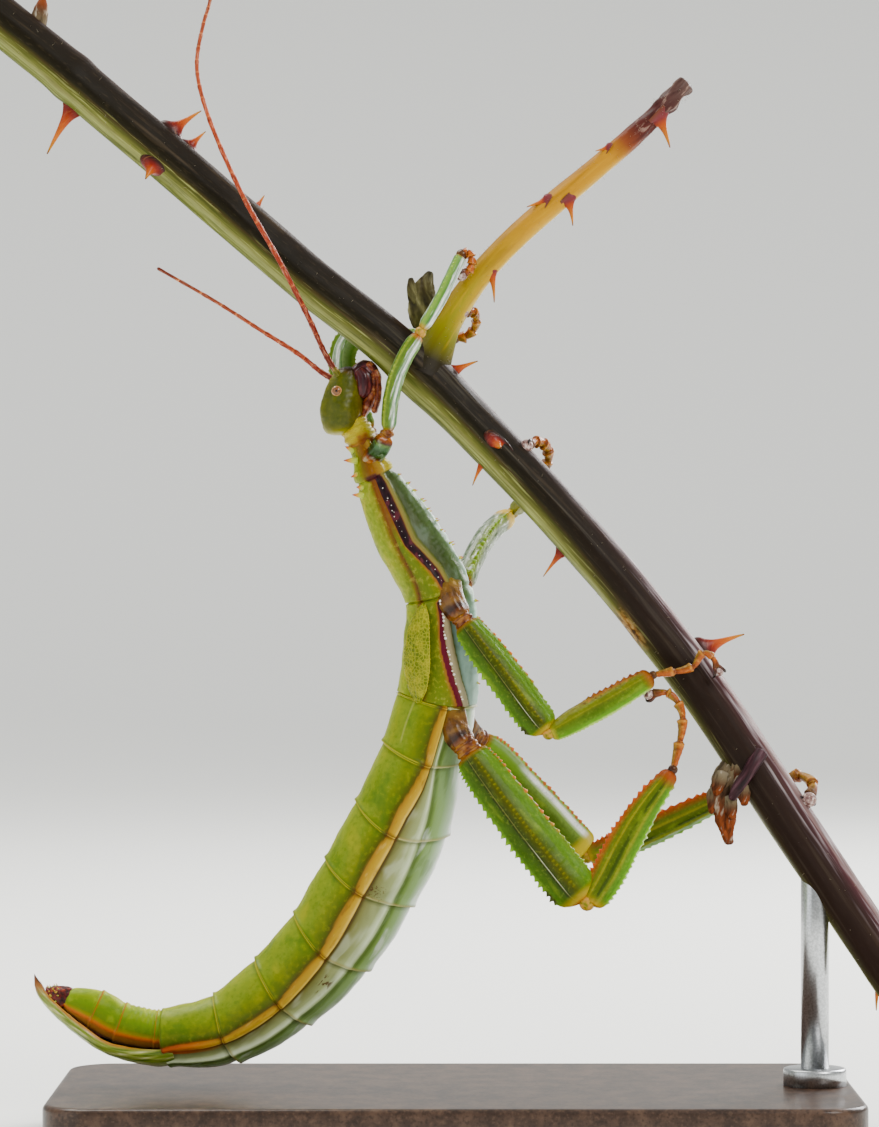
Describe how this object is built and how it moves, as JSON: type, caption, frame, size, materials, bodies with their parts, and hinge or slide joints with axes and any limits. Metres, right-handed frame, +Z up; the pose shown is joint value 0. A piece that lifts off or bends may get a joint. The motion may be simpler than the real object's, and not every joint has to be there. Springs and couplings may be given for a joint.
{
  "type": "stick insect on a cut plant stem with display stand",
  "caption": "Still, life-size model of a green stick insect hanging head up from a cut length of thorny cane, its tail curled to one side, on a flat base with a short rod.",
  "frame": {"origin": "middle of the underside of the stand's base", "axes": "+Z up; +X along the base towards the rod; the insect hangs in the X-Z plane with its back towards -X and its right legs at -Y"},
  "size_m": [0.1358, 0.054, 0.1677],
  "materials": {
    "head_shell": "smooth olive-green shell",
    "mouth_shell": "dark purple-brown, moist looking",
    "joint_skin": "orange-tan shell of the neck and leg roots",
    "thorax_shell": "yellow-green shell with a dark purple band and white grains",
    "abdomen_shell": "olive-green above, golden fold low on the flank, pale green below",
    "keel_plate_shell": "pale green boat-shaped plate with a cream edge",
    "tail_shell": "rough red-brown tip",
    "eye_surface": "glossy peach-coloured eye",
    "antenna_shell": "coral red with pale joints",
    "palp_shell": "red-brown",
    "wing_leather": "leathery yellow-green with a fine net of veins",
    "leg_shell": "bright green, serrated, orange and red at the ends",
    "tarsus_shell": "orange feet with dark claws",
    "cane_bark": "dark purple-brown and green stem, thorned",
    "shoot_bark": "amber and olive side shoot, thorned",
    "dry_plant": "dried brown leaf base and bud",
    "base_wood": "satin dark hardwood",
    "stand_steel": "satin steel"
  },
  "bodies": {
    "root": {"abdomen_01": "abdomen_shell", "abdomen_02": "abdomen_shell", "abdomen_03": "abdomen_shell", "abdomen_04": "abdomen_shell", "abdomen_05": "abdomen_shell", "abdomen_06": "abdomen_shell", "abdomen_07": "abdomen_shell", "abdomen_08": "abdomen_shell", "abdomen_09": "abdomen_shell", "abdomen_10": "abdomen_shell", "antenna_left": "antenna_shell", "antenna_right": "antenna_shell", "eye_left": "eye_surface", "eye_right": "eye_surface", "head": "head_shell", "keel_plate": "keel_plate_shell", "leg_fore_left_coxa": "joint_skin", "leg_fore_left_femur": "leg_shell", "leg_fore_left_tarsus": "tarsus_shell", "leg_fore_left_tibia": "leg_shell", "leg_fore_right_coxa": "joint_skin", "leg_fore_right_femur": "leg_shell", "leg_fore_right_tarsus": "tarsus_shell", "leg_fore_right_tibia": "leg_shell", "leg_hind_left_coxa": "joint_skin", "leg_hind_left_femur": "leg_shell", "leg_hind_left_tarsus": "tarsus_shell", "leg_hind_left_tibia": "leg_shell", "leg_hind_right_coxa": "joint_skin", "leg_hind_right_femur": "leg_shell", "leg_hind_right_tarsus": "tarsus_shell", "leg_hind_right_tibia": "leg_shell", "leg_mid_left_coxa": "joint_skin", "leg_mid_left_femur": "leg_shell", "leg_mid_left_tarsus": "tarsus_shell", "leg_mid_left_tibia": "leg_shell", "leg_mid_right_coxa": "joint_skin", "leg_mid_right_femur": "leg_shell", "leg_mid_right_tarsus": "tarsus_shell", "leg_mid_right_tibia": "leg_shell", "mesothorax": "thorax_shell", "metathorax": "thorax_shell", "mouthparts": "mouth_shell", "neck": "joint_skin", "palp_left": "palp_shell", "palp_right": "palp_shell", "perch_bud": "dry_plant", "perch_cane": "cane_bark", "perch_leaf_base": "dry_plant", "perch_shoot": "shoot_bark", "prothorax": "thorax_shell", "stand_base": "base_wood", "stand_collar": "stand_steel", "stand_rod": "stand_steel", "tail_tip": "tail_shell", "wing_pad_left": "wing_leather", "wing_pad_right": "wing_leather"}
  },
  "joints": []
}
